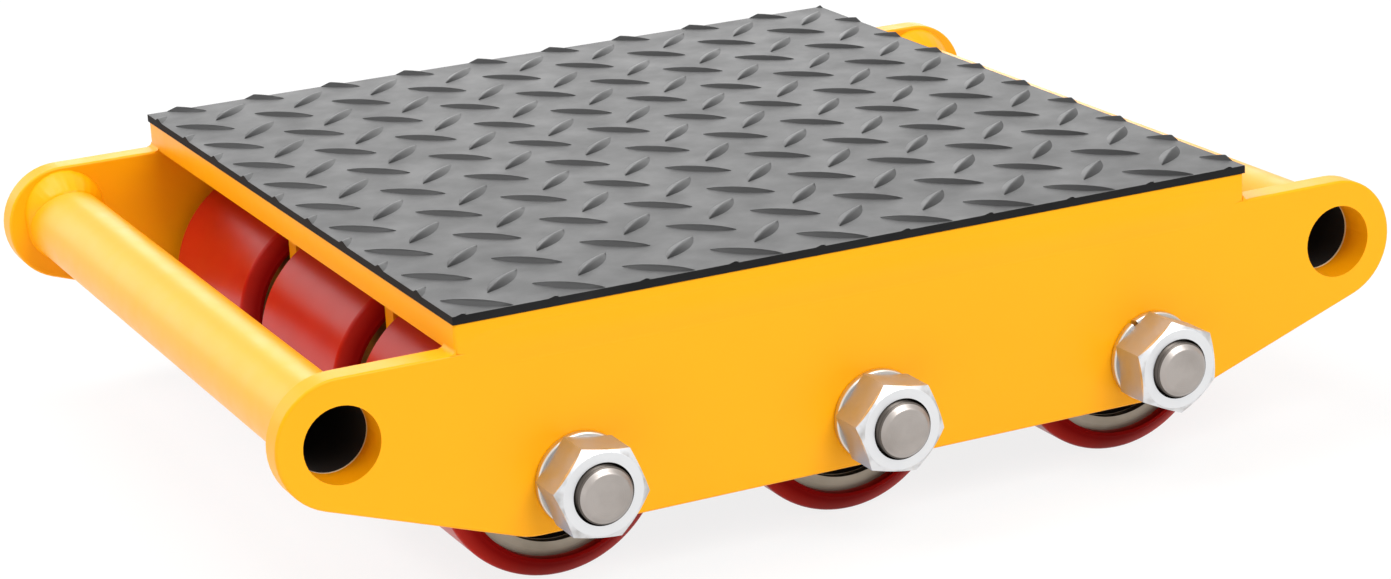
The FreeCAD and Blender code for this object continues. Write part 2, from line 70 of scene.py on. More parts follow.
# axle lines and handle lines, read from the frame
rollerJoints = {joint["child"]: Vector(joint["pos_m"]) for joint in frame["joints"]}
axleHeight = rollerJoints["roller_middle_centre"].z
axlePitch = rollerJoints["roller_right_centre"].x
treadBoxes = [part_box("tread_middle_" + row) for row in ("centre", "rear")]
rowPitch = treadBoxes[1][0].y - treadBoxes[0][0].y
tubeLow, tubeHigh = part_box("handle_tube_right")
tubeRadius = (tubeHigh.z - tubeLow.z) / 2
tubeX = (tubeLow.x + tubeHigh.x) / 2
tubeZ = (tubeLow.z + tubeHigh.z) / 2
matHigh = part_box("rubber_mat")[1]
bearingLow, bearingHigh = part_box("bearing_outer_rings_middle_centre")
bearingRadius = (bearingHigh.z - bearingLow.z) / 2
print("frame loaded:", len(nodes), "nodes")


# colours are written as sRGB hex and turned to linear here
def hexColour(text):
    channels = [int(text[i:i + 2], 16) / 255 for i in (0, 2, 4)]
    linear = [c / 12.92 if c <= 0.04045 else ((c + 0.055) / 1.055) ** 2.4 for c in channels]
    return (*linear, 1.0)


# adds one node: settings are its properties, inputs are values or sockets to link
def addNode(tree, kind, inputs=None, **settings):
    node = tree.nodes.new(kind)
    for name, value in settings.items():
        setattr(node, name, value)
    for name, value in (inputs or {}).items():
        if isinstance(value, bpy.types.NodeSocket):
            tree.links.new(value, node.inputs[name])
        else:
            node.inputs[name].default_value = value
    return node


def newTree(name):
    material = bpy.data.materials.new(name)
    material.use_nodes = True
    material.node_tree.nodes.clear()
    return material, material.node_tree


# powder-coated steel: a thick baked skin, warm yellow, semi-gloss with a faint orange peel
paint = {
    "yellow": "FDAE05", "deep": "FBA703", "cloud": 70 * mm, "haze": 9 * mm,
    "peel": 1.8 * mm, "peelDepth": 0.012 * mm, "smooth": 0.32, "dull": 0.4, "specular": 0.2, "handled": 0.5,
    # painted shade: the near-black tone and added roughness deep inside the handle tubes' bores
    "boreShade": "0C0A09", "boreShadeDull": 0.5, "boreMargin": 0.8 * mm,
    # painted highlight: the pale tone and width of a thin ring where the bore's painted shade begins
    "shadeDepth": 4 * mm, "lip": "FFF0C8", "lipWidth": 0.8 * mm,
}


# the handle tubes are rubbed glossier by hands; inside them, a little past the plates, the bore is coloured near
# black as painted shade and made rougher, with a thin painted highlight where that shade begins
def powderCoat(name, isTube):
    material, tree = newTree(name)
    place = addNode(tree, "ShaderNodeTexCoord").outputs["Object"]
    cloud = addNode(tree, "ShaderNodeTexNoise", {"Vector": place, "Scale": 1 / paint["cloud"], "Detail": 2.0})
    tone = addNode(tree, "ShaderNodeMix", {
        0: cloud.outputs["Fac"], 6: hexColour(paint["yellow"]), 7: hexColour(paint["deep"])},
        data_type="RGBA")
    haze = addNode(tree, "ShaderNodeTexNoise", {"Vector": place, "Scale": 1 / paint["haze"], "Detail": 3.0})
    gloss = addNode(tree, "ShaderNodeMapRange", {
        "Value": haze.outputs["Fac"], **noiseSpan, "To Min": paint["smooth"], "To Max": paint["dull"]})
    peel = addNode(tree, "ShaderNodeTexNoise", {"Vector": place, "Scale": 1 / paint["peel"], "Detail": 1.0})
    skin = addNode(tree, "ShaderNodeBump", {"Height": peel.outputs["Fac"], "Distance": paint["peelDepth"]})
    colour, rough = tone.outputs[2], gloss.outputs["Result"]
    if isTube:
        parts = addNode(tree, "ShaderNodeSeparateXYZ", {"Vector": place}).outputs
        side = addNode(tree, "ShaderNodeMath", {0: parts["X"]}, operation="ABSOLUTE")
        across = addNode(tree, "ShaderNodeMath", {0: side.outputs[0], 1: tubeX}, operation="SUBTRACT")
        rise = addNode(tree, "ShaderNodeMath", {0: parts["Z"], 1: tubeZ}, operation="SUBTRACT")
        flat = addNode(tree, "ShaderNodeCombineXYZ", {"X": across.outputs[0], "Y": rise.outputs[0]})
        radius = addNode(tree, "ShaderNodeVectorMath", {0: flat.outputs[0]}, operation="LENGTH")
        inner = addNode(tree, "ShaderNodeMath", {
            0: radius.outputs["Value"], 1: tubeRadius - paint["boreMargin"]}, operation="LESS_THAN")
        along = addNode(tree, "ShaderNodeMath", {0: parts["Y"]}, operation="ABSOLUTE")
        deepIn = addNode(tree, "ShaderNodeMath", {
            0: along.outputs[0], 1: tubeHigh.y - paint["shadeDepth"]}, operation="LESS_THAN")
        # painted shade: the bore is coloured near black from a little past the plates inward
        boreShaded = addNode(tree, "ShaderNodeMath", {
            0: inner.outputs[0], 1: deepIn.outputs[0]}, operation="MULTIPLY")
        # painted highlight: a thin pale ring in the bore, where its painted shade begins
        atBoreRim = addNode(tree, "ShaderNodeMath", {
            0: along.outputs[0], 1: tubeHigh.y - paint["shadeDepth"] + paint["lipWidth"] / 2,
            2: paint["lipWidth"] / 2}, operation="COMPARE")
        lip = addNode(tree, "ShaderNodeMath", {
            0: inner.outputs[0], 1: atBoreRim.outputs[0]}, operation="MULTIPLY")
        lipped = addNode(tree, "ShaderNodeMix", {
            0: lip.outputs[0], 6: colour, 7: hexColour(paint["lip"])}, data_type="RGBA")
        colour = addNode(tree, "ShaderNodeMix", {
            0: boreShaded.outputs[0], 6: lipped.outputs[2], 7: hexColour(paint["boreShade"])},
            data_type="RGBA").outputs[2]
        rough = addNode(tree, "ShaderNodeMath", {
            0: boreShaded.outputs[0], 1: paint["boreShadeDull"], 2: rough}, operation="MULTIPLY_ADD").outputs[0]
    shader = addNode(tree, "ShaderNodeBsdfPrincipled", {
        "Base Color": colour, "Roughness": rough, "IOR": 1.5,
        "Specular IOR Level": paint["handled" if isTube else "specular"], "Normal": skin.outputs["Normal"]})
    addNode(tree, "ShaderNodeOutputMaterial", {"Surface": shader.outputs["BSDF"]})
    return material


# moulded SBR rubber sheet: near black, dusty smears, brightening at a low angle as rubber does;
# its cut edges are rough and stay black
rubber = {
    "black": "0A0A0B", "dust": "2C2C2D", "smear": 45 * mm, "streak": 16 * mm,
    "grain": 0.9 * mm, "grainDepth": 0.008 * mm, "slick": 0.37, "dull": 0.45, "cutEdge": 0.5,
    "dustSpan": {"From Min": 0.5, "From Max": 0.8, "To Max": 0.35}, "edgeMargin": 0.1 * mm, "specular": 0.32,
}


def mouldedRubber():
    material, tree = newTree("mouldedRubberSheet")
    place = addNode(tree, "ShaderNodeTexCoord").outputs["Object"]
    smear = addNode(tree, "ShaderNodeTexNoise", {
        "Vector": place, "Scale": 1 / rubber["smear"], "Detail": 5.0, "Roughness": 0.6})
    dusty = addNode(tree, "ShaderNodeMapRange", {
        "Value": smear.outputs["Fac"], **rubber["dustSpan"]})
    tone = addNode(tree, "ShaderNodeMix", {
        0: dusty.outputs["Result"], 6: hexColour(rubber["black"]), 7: hexColour(rubber["dust"])},
        data_type="RGBA")
    streak = addNode(tree, "ShaderNodeTexNoise", {
        "Vector": place, "Scale": 1 / rubber["streak"], "Detail": 4.0, "Roughness": 0.55})
    gloss = addNode(tree, "ShaderNodeMapRange", {
        "Value": streak.outputs["Fac"], **noiseSpan, "To Min": rubber["slick"], "To Max": rubber["dull"]})
    parts = addNode(tree, "ShaderNodeSeparateXYZ", {"Vector": place}).outputs
    endways = addNode(tree, "ShaderNodeMath", {0: parts["X"]}, operation="ABSOLUTE")
    sideways = addNode(tree, "ShaderNodeMath", {0: parts["Y"]}, operation="ABSOLUTE")
    endCut = addNode(tree, "ShaderNodeMath", {
        0: endways.outputs[0], 1: matHigh.x - rubber["edgeMargin"]}, operation="GREATER_THAN")
    sideCut = addNode(tree, "ShaderNodeMath", {
        0: sideways.outputs[0], 1: matHigh.y - rubber["edgeMargin"]}, operation="GREATER_THAN")
    cut = addNode(tree, "ShaderNodeMath", {0: endCut.outputs[0], 1: sideCut.outputs[0]}, operation="MAXIMUM")
    rough = addNode(tree, "ShaderNodeMath", {
        0: cut.outputs[0], 1: rubber["cutEdge"], 2: gloss.outputs["Result"]}, operation="MULTIPLY_ADD")
    grain = addNode(tree, "ShaderNodeTexNoise", {
        "Vector": place, "Scale": 1 / rubber["grain"], "Detail": 2.0})
    skin = addNode(tree, "ShaderNodeBump", {"Height": grain.outputs["Fac"], "Distance": rubber["grainDepth"]})
    shader = addNode(tree, "ShaderNodeBsdfPrincipled", {
        "Base Color": tone.outputs[2], "Roughness": rough.outputs[0], "IOR": 1.52,
        "Specular IOR Level": rubber["specular"], "Normal": skin.outputs["Normal"]})
    addNode(tree, "ShaderNodeOutputMaterial", {"Surface": shader.outputs["BSDF"]})
    return material


# cast polyurethane, skimmed smooth on a lathe: deep red and glossy, slightly clouded;
# down the end bevels the red is darkened as painted shade, and the surface is made duller and less shiny
polyurethane = {
    "red": "BC220F", "deep": "AC1A0C", "cloud": 30 * mm, "haze": 12 * mm, "smooth": 0.29, "dull": 0.34,
    # painted shade: the dark red towards the end bevels
    "bevelled": "7E0503", "bevelStart": 37.5 * mm, "bevelFull": 41.5 * mm, "bevelDull": 0.28,
    "specular": 0.18, "bevelSpecular": 0.04,
}


def castPolyurethane():
    material, tree = newTree("castPolyurethane")
    place = addNode(tree, "ShaderNodeTexCoord").outputs["Object"]
    cloud = addNode(tree, "ShaderNodeTexNoise", {
        "Vector": place, "Scale": 1 / polyurethane["cloud"], "Detail": 3.0})
    tone = addNode(tree, "ShaderNodeMix", {
        0: cloud.outputs["Fac"], 6: hexColour(polyurethane["red"]), 7: hexColour(polyurethane["deep"])},
        data_type="RGBA")
    parts = addNode(tree, "ShaderNodeSeparateXYZ", {"Vector": place}).outputs
    across = addNode(tree, "ShaderNodeMath", {
        0: parts["Y"], 1: rowPitch / 2, 2: -rowPitch / 2}, operation="WRAP")
    offCentre = addNode(tree, "ShaderNodeMath", {0: across.outputs[0]}, operation="ABSOLUTE")
    ended = addNode(tree, "ShaderNodeMapRange", {
        "Value": offCentre.outputs[0], "From Min": polyurethane["bevelStart"],
        "From Max": polyurethane["bevelFull"]})
    # painted shade: the red darkens towards the end bevels
    colour = addNode(tree, "ShaderNodeMix", {
        0: ended.outputs["Result"], 6: tone.outputs[2], 7: hexColour(polyurethane["bevelled"])},
        data_type="RGBA")
    haze = addNode(tree, "ShaderNodeTexNoise", {
        "Vector": place, "Scale": 1 / polyurethane["haze"], "Detail": 3.0})
    gloss = addNode(tree, "ShaderNodeMapRange", {
        "Value": haze.outputs["Fac"], **noiseSpan,
        "To Min": polyurethane["smooth"], "To Max": polyurethane["dull"]})
    rough = addNode(tree, "ShaderNodeMath", {
        0: ended.outputs["Result"], 1: polyurethane["bevelDull"], 2: gloss.outputs["Result"]},
        operation="MULTIPLY_ADD")
    shine = addNode(tree, "ShaderNodeMapRange", {
        "Value": ended.outputs["Result"],
        "To Min": polyurethane["specular"], "To Max": polyurethane["bevelSpecular"]})
    shader = addNode(tree, "ShaderNodeBsdfPrincipled", {
        "Base Color": colour.outputs[2], "Roughness": rough.outputs[0], "IOR": 1.5,
        "Specular IOR Level": shine.outputs["Result"]})
    addNode(tree, "ShaderNodeOutputMaterial", {"Surface": shader.outputs["BSDF"]})
    return material


# how far a point lies from the line of its own axle
def axleRadius(tree, parts):
    across = addNode(tree, "ShaderNodeMath", {
        0: parts["X"], 1: axlePitch / 2, 2: -axlePitch / 2}, operation="WRAP")
    rise = addNode(tree, "ShaderNodeMath", {0: parts["Z"], 1: axleHeight}, operation="SUBTRACT")
    flat = addNode(tree, "ShaderNodeCombineXYZ", {"X": across.outputs[0], "Y": rise.outputs[0]})
    return addNode(tree, "ShaderNodeVectorMath", {0: flat.outputs[0]}, operation="LENGTH").outputs["Value"]


# bare steel faced on a lathe: fine rings round the axle line, grey with slight staining, and the bearing rings
# coloured dark as painted shade
turned = {
    "core": {
        "steel": "9C9284", "stain": "7F7566", "ring": 0.5 * mm, "rough": 0.42,
        # painted shade: the near-black tone in the cores' recesses round the bearings
        "recessShade": "110E0C", "recess": 2.9 * mm},
    # painted shade: the axle's darker tone over its thread
    "axle": {"steel": "B0A9A4", "stain": "97908A", "ring": 0.4 * mm, "rough": 0.38, "threadShade": "625C57"},
    "spacer": {"steel": "96948F", "stain": "7B7872", "ring": 0.4 * mm, "rough": 0.4},
    # painted shade: the bearing rings are coloured near black, deep in their recesses
    "bearing": {"steel": "211D1A", "stain": "14110F", "ring": 0.3 * mm, "rough": 0.5},
    "patch": 14 * mm, "stainSpan": {"From Min": 0.4, "From Max": 0.75, "To Max": 0.7},
    "ringDepth": 0.015 * mm, "smoother": 0.07, "duller": 0.08, "threadShadeEnd": 1.5 * mm,
}


# the cores carry painted shade in the recesses round their bearings, and the axles painted shade up to their end
# bevels
def turnedSteel(name, look):
    material, tree = newTree(name)
    place = addNode(tree, "ShaderNodeTexCoord").outputs["Object"]
    parts = addNode(tree, "ShaderNodeSeparateXYZ", {"Vector": place}).outputs
    radius = axleRadius(tree, parts)
    ring = addNode(tree, "ShaderNodeTexNoise", {
        "W": radius, "Scale": 1 / look["ring"], "Detail": 2.0}, noise_dimensions="1D")
    patch = addNode(tree, "ShaderNodeTexNoise", {
        "Vector": place, "Scale": 1 / turned["patch"], "Detail": 4.0})
    stained = addNode(tree, "ShaderNodeMapRange", {
        "Value": patch.outputs["Fac"], **turned["stainSpan"]})
    colour = addNode(tree, "ShaderNodeMix", {
        0: stained.outputs["Result"], 6: hexColour(look["steel"]), 7: hexColour(look["stain"])},
        data_type="RGBA").outputs[2]
    # painted shade: the core is coloured near black within the recess round its bearing
    if "recessShade" in look:
        inShadedRecess = addNode(tree, "ShaderNodeMath", {
            0: radius, 1: bearingRadius + look["recess"]}, operation="LESS_THAN")
        colour = addNode(tree, "ShaderNodeMix", {
            0: inShadedRecess.outputs[0], 6: colour, 7: hexColour(look["recessShade"])}, data_type="RGBA").outputs[2]
    # painted shade: the axle is darkened over its thread, up to just short of its end face
    if "threadShade" in look:
        along = addNode(tree, "ShaderNodeMath", {0: parts["Y"]}, operation="ABSOLUTE")
        shadedThread = addNode(tree, "ShaderNodeMath", {
            0: along.outputs[0], 1: cadBox[1][1] - turned["threadShadeEnd"]}, operation="LESS_THAN")
        colour = addNode(tree, "ShaderNodeMix", {
            0: shadedThread.outputs[0], 6: colour, 7: hexColour(look["threadShade"])}, data_type="RGBA").outputs[2]
    gloss = addNode(tree, "ShaderNodeMapRange", {
        "Value": ring.outputs["Fac"], **noiseSpan,
        "To Min": look["rough"] - turned["smoother"], "To Max": look["rough"] + turned["duller"]})
    skin = addNode(tree, "ShaderNodeBump", {"Height": ring.outputs["Fac"], "Distance": turned["ringDepth"]})
    shader = addNode(tree, "ShaderNodeBsdfPrincipled", {
        "Base Color": colour, "Metallic": 1.0, "Roughness": gloss.outputs["Result"],
        "Normal": skin.outputs["Normal"]})
    addNode(tree, "ShaderNodeOutputMaterial", {"Surface": shader.outputs["BSDF"]})
    return material


# zinc plate: white and satin on the turned faces of the nuts; on their flats duller, and darker and bluer as
# painted shade; warmer on the spring washers, with painted shade on their faces and a painted highlight on their
# rims;
# scuffed by the spanner on the nuts' corners; painted shade in the countersinks round the thread
zinc = {
    "nut": {
        # painted shade: the nuts' side tone is darker and bluer than the faces, toning down the plate's reflection
        # in the flats
        "bright": "E8E9EA", "cloudy": "DCDDDF", "side": "BCC0CA", "bevel": 1.7 * mm, "sideDull": 0.08,
        "smooth": 0.36, "dull": 0.46, "scuff": "9A9691", "scuffRadius": 14.4 * mm},
    "washer": {
        # painted shade on the washers' faces next to the nuts, and a painted highlight in their lighter side tone
        # on the rims
        "bright": "C9C2B8", "cloudy": "B1A99F", "side": "DCD4CA", "bevel": 0.1 * mm, "sideDull": 0.0,
        "smooth": 0.3, "dull": 0.42},
    # painted shade: the dark tone and radius of the countersinks round the axle thread
    "cloud": 8 * mm, "grit": 5 * mm, "countersinkShade": "24211E", "countersinkShadeRadius": 10.85 * mm,
    "scuffSpan": {"From Min": 0.42, "From Max": 0.68, "To Max": 0.55},
}


def zincPlate(name, node, look):
    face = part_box(node)[1].y
    material, tree = newTree(name)
    place = addNode(tree, "ShaderNodeTexCoord").outputs["Object"]
    parts = addNode(tree, "ShaderNodeSeparateXYZ", {"Vector": place}).outputs
    radius = axleRadius(tree, parts)
    # painted shade: near black within the countersink round the axle thread
    inCountersinkShade = addNode(tree, "ShaderNodeMath", {
        0: radius, 1: zinc["countersinkShadeRadius"]}, operation="LESS_THAN")
    cloud = addNode(tree, "ShaderNodeTexNoise", {"Vector": place, "Scale": 1 / zinc["cloud"], "Detail": 4.0})
    plated = addNode(tree, "ShaderNodeMix", {
        0: cloud.outputs["Fac"], 6: hexColour(look["bright"]), 7: hexColour(look["cloudy"])},
        data_type="RGBA").outputs[2]
    if "scuff" in look:
        grit = addNode(tree, "ShaderNodeTexNoise", {
            "Vector": place, "Scale": 1 / zinc["grit"], "Detail": 2.0})
        worn = addNode(tree, "ShaderNodeMapRange", {"Value": grit.outputs["Fac"], **zinc["scuffSpan"]})
        corner = addNode(tree, "ShaderNodeMath", {
            0: radius, 1: look["scuffRadius"]}, operation="GREATER_THAN")
        scuffed = addNode(tree, "ShaderNodeMath", {
            0: corner.outputs[0], 1: worn.outputs["Result"]}, operation="MULTIPLY")
        plated = addNode(tree, "ShaderNodeMix", {
            0: scuffed.outputs[0], 6: plated, 7: hexColour(look["scuff"])}, data_type="RGBA").outputs[2]
    along = addNode(tree, "ShaderNodeMath", {0: parts["Y"]}, operation="ABSOLUTE")
    behind = addNode(tree, "ShaderNodeMath", {
        0: along.outputs[0], 1: face - look["bevel"]}, operation="LESS_THAN")
    # painted light on the sides: painted shade on the nuts' flats, a painted highlight on the washers' rims
    paintedSideLight = addNode(tree, "ShaderNodeMix", {
        0: behind.outputs[0], 6: plated, 7: hexColour(look["side"])}, data_type="RGBA")
    colour = addNode(tree, "ShaderNodeMix", {
        0: inCountersinkShade.outputs[0], 6: paintedSideLight.outputs[2], 7: hexColour(zinc["countersinkShade"])}, data_type="RGBA")
    gloss = addNode(tree, "ShaderNodeMapRange", {
        "Value": cloud.outputs["Fac"], **noiseSpan, "To Min": look["smooth"], "To Max": look["dull"]})
    rough = addNode(tree, "ShaderNodeMath", {
        0: behind.outputs[0], 1: look["sideDull"], 2: gloss.outputs["Result"]}, operation="MULTIPLY_ADD")
    shader = addNode(tree, "ShaderNodeBsdfPrincipled", {
        "Base Color": colour.outputs[2], "Metallic": 1.0, "Roughness": rough.outputs[0]})
    addNode(tree, "ShaderNodeOutputMaterial", {"Surface": shader.outputs["BSDF"]})
    return material


# moulded nitrile seals: black, satin, slightly greyed by grease
nitrile = {"black": "151515", "greasy": "2A2826", "grain": 3 * mm, "smooth": 0.45, "dull": 0.6}


def nitrileRubber():
    material, tree = newTree("mouldedNitrile")
    place = addNode(tree, "ShaderNodeTexCoord").outputs["Object"]
    grain = addNode(tree, "ShaderNodeTexNoise", {
        "Vector": place, "Scale": 1 / nitrile["grain"], "Detail": 3.0})
    tone = addNode(tree, "ShaderNodeMix", {
        0: grain.outputs["Fac"], 6: hexColour(nitrile["black"]), 7: hexColour(nitrile["greasy"])},
        data_type="RGBA")
    gloss = addNode(tree, "ShaderNodeMapRange", {
        "Value": grain.outputs["Fac"], **noiseSpan,
        "To Min": nitrile["smooth"], "To Max": nitrile["dull"]})
    shader = addNode(tree, "ShaderNodeBsdfPrincipled", {
        "Base Color": tone.outputs[2], "Roughness": gloss.outputs["Result"], "IOR": 1.52})
    addNode(tree, "ShaderNodeOutputMaterial", {"Surface": shader.outputs["BSDF"]})
    return material


finishes = {
    "yellow_paint": powderCoat("powderCoatedSteel", False),
    "mat_rubber": mouldedRubber(),
    "polyurethane": castPolyurethane(),
    "core_steel": turnedSteel("turnedCoreSteel", turned["core"]),
    "axle_steel": turnedSteel("turnedAxleSteel", turned["axle"]),
    "spacer_steel": turnedSteel("turnedSpacerSteel", turned["spacer"]),
    "bearing_steel": turnedSteel("groundBearingSteelPaintedShade", turned["bearing"]),
    "zinc_plate": zincPlate("zincPlatedNut", "axle_nuts", zinc["nut"]),
    "seal_rubber": nitrileRubber(),
}
tubePaint = powderCoat("powderCoatedTube", True)
ownFinish = {
    "handle_tube_left": tubePaint,
    "handle_tube_right": tubePaint,
    "axle_washers": zincPlate("zincPlatedSpringWasher", "axle_washers", zinc["washer"]),
}
for subpart in frame["record"]["subparts"]:
    node = nodes[subpart["node"]]
    node.data.materials.clear()
    node.data.materials.append(ownFinish.get(subpart["node"], finishes[subpart["material_slot"]]))
print("materials ready:", len(bpy.data.materials))


# puts a finished mesh in the scene on the frame body, smooth except at real edges
def placePiece(name, mesh, slot, crease):
    for face in mesh.faces:
        face.smooth = True
    data = bpy.data.meshes.new(name)
    mesh.to_mesh(data)
    mesh.free()
    data.set_sharp_from_angle(angle=math.radians(crease))
    data.materials.append(finishes[slot])
    piece = bpy.data.objects.new(name, data)
    bpy.context.scene.collection.objects.link(piece)
    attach(piece, "frame")
    return piece


# axles with the last turns of their thread cut as grooves, bevelled at the end
axleShape = {
    "bevel": 2.0 * mm, "corner": ((0, -0.4 * mm), (0.13 * mm, 0), (0.5 * mm, 0.4 * mm)),
    "turn": 2.5 * mm, "depth": 1.3 * mm, "turns": 3, "crest": 0.35 * mm, "steps": 72,
    "crease": 25,
}


def buildAxles():
    for name in ("axle_left", "axle_middle", "axle_right"):
        low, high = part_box(name)
        radius = (high.z - low.z) / 2
        centre = Vector(((low.x + high.x) / 2, 0, (low.z + high.z) / 2))
        half = [(high.y, 0)]
        half += [(high.y - back, radius - axleShape["bevel"] + out) for back, out in axleShape["corner"]]
        start = high.y - axleShape["bevel"]
        for turn in range(axleShape["turns"]):
            top = start - turn * axleShape["turn"]
            root = top - axleShape["turn"] / 2
            half += [(top, radius), (top - axleShape["crest"], radius)]
            half += [(root, radius - axleShape["depth"])]
        half += [(start - axleShape["turns"] * axleShape["turn"], radius)]
        outline = half + [(-y, r) for y, r in reversed(half)]
        mesh = bmesh.new()
        corners = [mesh.verts.new(centre + Vector((0, y, r))) for y, r in outline]
        lines = [mesh.edges.new(pair) for pair in zip(corners, corners[1:])]
        bmesh.ops.spin(mesh, geom=corners + lines, cent=centre, axis=(0, 1, 0), angle=math.tau,
                       steps=axleShape["steps"], use_merge=True)
        bmesh.ops.remove_doubles(mesh, verts=mesh.verts, dist=mergeDistance)
        bmesh.ops.recalc_face_normals(mesh, faces=mesh.faces)
        piece = placePiece(name.replace("axle", "threadedAxle"), mesh, "axle_steel", axleShape["crease"])
        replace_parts(piece, name)


# spring washers of coiled wire, their outer edges rounded and the ring split on a slant;
# turns say where each split was left, in degrees from the top, for the left, middle and right axle
washerShape = {
    "round": 0.9 * mm, "arc": 4, "bore": 10.5 * mm, "split": 1.8 * mm, "slant": 15, "steps": 96,
    "frontTurns": (140, 165, -30), "rearTurns": (80, -110, 25), "crease": 40,
}


def buildWashers():
    low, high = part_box("axle_washers")
    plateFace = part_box("side_plate_rear")[1].y
    outer = (high.z - low.z) / 2
    half = (high.y - plateFace) / 2
    outline = [(-half, washerShape["bore"]), (half, washerShape["bore"])]
    for i in range(washerShape["arc"] + 1):
        t = math.pi / 2 * i / washerShape["arc"]
        back, down = washerShape["round"] * (1 - math.cos(t)), washerShape["round"] * (1 - math.sin(t))
        outline.append((half - back, outer - down))
    outline += [(-y, r) for y, r in reversed(outline[2:])]
    gap = washerShape["split"] / outer
    lean = math.tan(math.radians(washerShape["slant"])) / outer
    mesh = bmesh.new()
    for side, turns in ((-1, washerShape["frontTurns"]), (1, washerShape["rearTurns"])):
        for x, turn in zip((-axlePitch, 0, axlePitch), turns):
            centre = Vector((x, side * (plateFace + half), axleHeight))
            start = math.radians(turn) + gap / 2
            corners = []
            for y, r in outline:
                spot = Vector((r * math.sin(start - lean * y), y, r * math.cos(start - lean * y)))
                corners.append(mesh.verts.new(centre + spot))
            lines = [mesh.edges.new(pair) for pair in zip(corners, corners[1:] + corners[:1])]
            bmesh.ops.spin(mesh, geom=corners + lines, cent=centre, axis=(0, 1, 0), angle=math.tau - gap,
                           steps=washerShape["steps"], use_merge=False)
    bmesh.ops.holes_fill(mesh, edges=mesh.edges, sides=0)
    bmesh.ops.recalc_face_normals(mesh, faces=mesh.faces)
    piece = placePiece("roundedSpringWashers", mesh, "zinc_plate", washerShape["crease"])
    piece.data.materials[0] = ownFinish["axle_washers"]
    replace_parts(piece, "axle_washers")


# weld beads round the handle tubes: heavier on top, where the torch reaches, with a light ripple
tubeBead = {
    "alongTube": 11.5 * mm, "upPlate": 6.2 * mm, "swell": 0.06, "thin": 0.1, "root": 0.4 * mm,
    "profile": 9, "steps": 120, "ripples": 34, "ripple": 0.012, "wobbles": 3, "wobble": 1.5, "fade": 1.2,
    "crease": 60,
}


def buildTubeBeads():
    mesh = bmesh.new()
    for x in (-tubeX, tubeX):
        for side in (-1, 1):
            plate = Vector((x, side * tubeHigh.y, tubeZ))
            outline = [(-tubeBead["root"], -tubeBead["root"]), (-tubeBead["root"], tubeBead["upPlate"])]
            for i in range(tubeBead["profile"]):
                t = i / (tubeBead["profile"] - 1)
                swell = tubeBead["swell"] * math.sin(math.pi * t)
                outline.append(((t + swell) * tubeBead["alongTube"], (1 - t + swell) * tubeBead["upPlate"]))
            outline.append((tubeBead["alongTube"], -tubeBead["root"]))
            corners = [mesh.verts.new(plate + Vector((0, -side * a, tubeRadius + r))) for a, r in outline]
            lines = [mesh.edges.new(pair) for pair in zip(corners, corners[1:] + corners[:1])]
            bmesh.ops.spin(mesh, geom=corners + lines, cent=plate, axis=(0, 1, 0), angle=math.tau,
                           steps=tubeBead["steps"], use_merge=True)
    bmesh.ops.remove_doubles(mesh, verts=mesh.verts, dist=mergeDistance)
    for vert in mesh.verts:
        out = Vector((vert.co.x - math.copysign(tubeX, vert.co.x), 0, vert.co.z - tubeZ))
        turn = math.atan2(out.z, out.x)
        size = tubeBead["thin"] + (1 - tubeBead["thin"]) * max(0.0, math.sin(turn)) ** tubeBead["fade"]
        phase = tubeBead["ripples"] * turn + tubeBead["wobble"] * math.sin(tubeBead["wobbles"] * turn)
        size *= 1 + tubeBead["ripple"] * math.sin(phase)
        rise = out.length - tubeRadius
        reach = tubeHigh.y - abs(vert.co.y)
        if rise > 0:
            out *= (tubeRadius + rise * size) / out.length
        vert.co.x = math.copysign(tubeX, vert.co.x) + out.x
        vert.co.z = tubeZ + out.z
        if reach > 0:
            vert.co.y = math.copysign(tubeHigh.y - reach * size, vert.co.y)
    bmesh.ops.recalc_face_normals(mesh, faces=mesh.faces)
    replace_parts(placePiece("tubeWeldBeads", mesh, "yellow_paint", tubeBead["crease"]), "handle_welds")


# platform welds, ground nearly flush and fading out at both ends
capBead = {
    "bulge": 0.75, "root": 0.9 * mm, "fade": 26 * mm, "end": 0.5 * mm, "alongCuts": 120, "upCuts": 10,
    "sunk": 0.03 * mm, "endSunk": 0.3 * mm, "endShare": 0.01, "crease": 60,
}


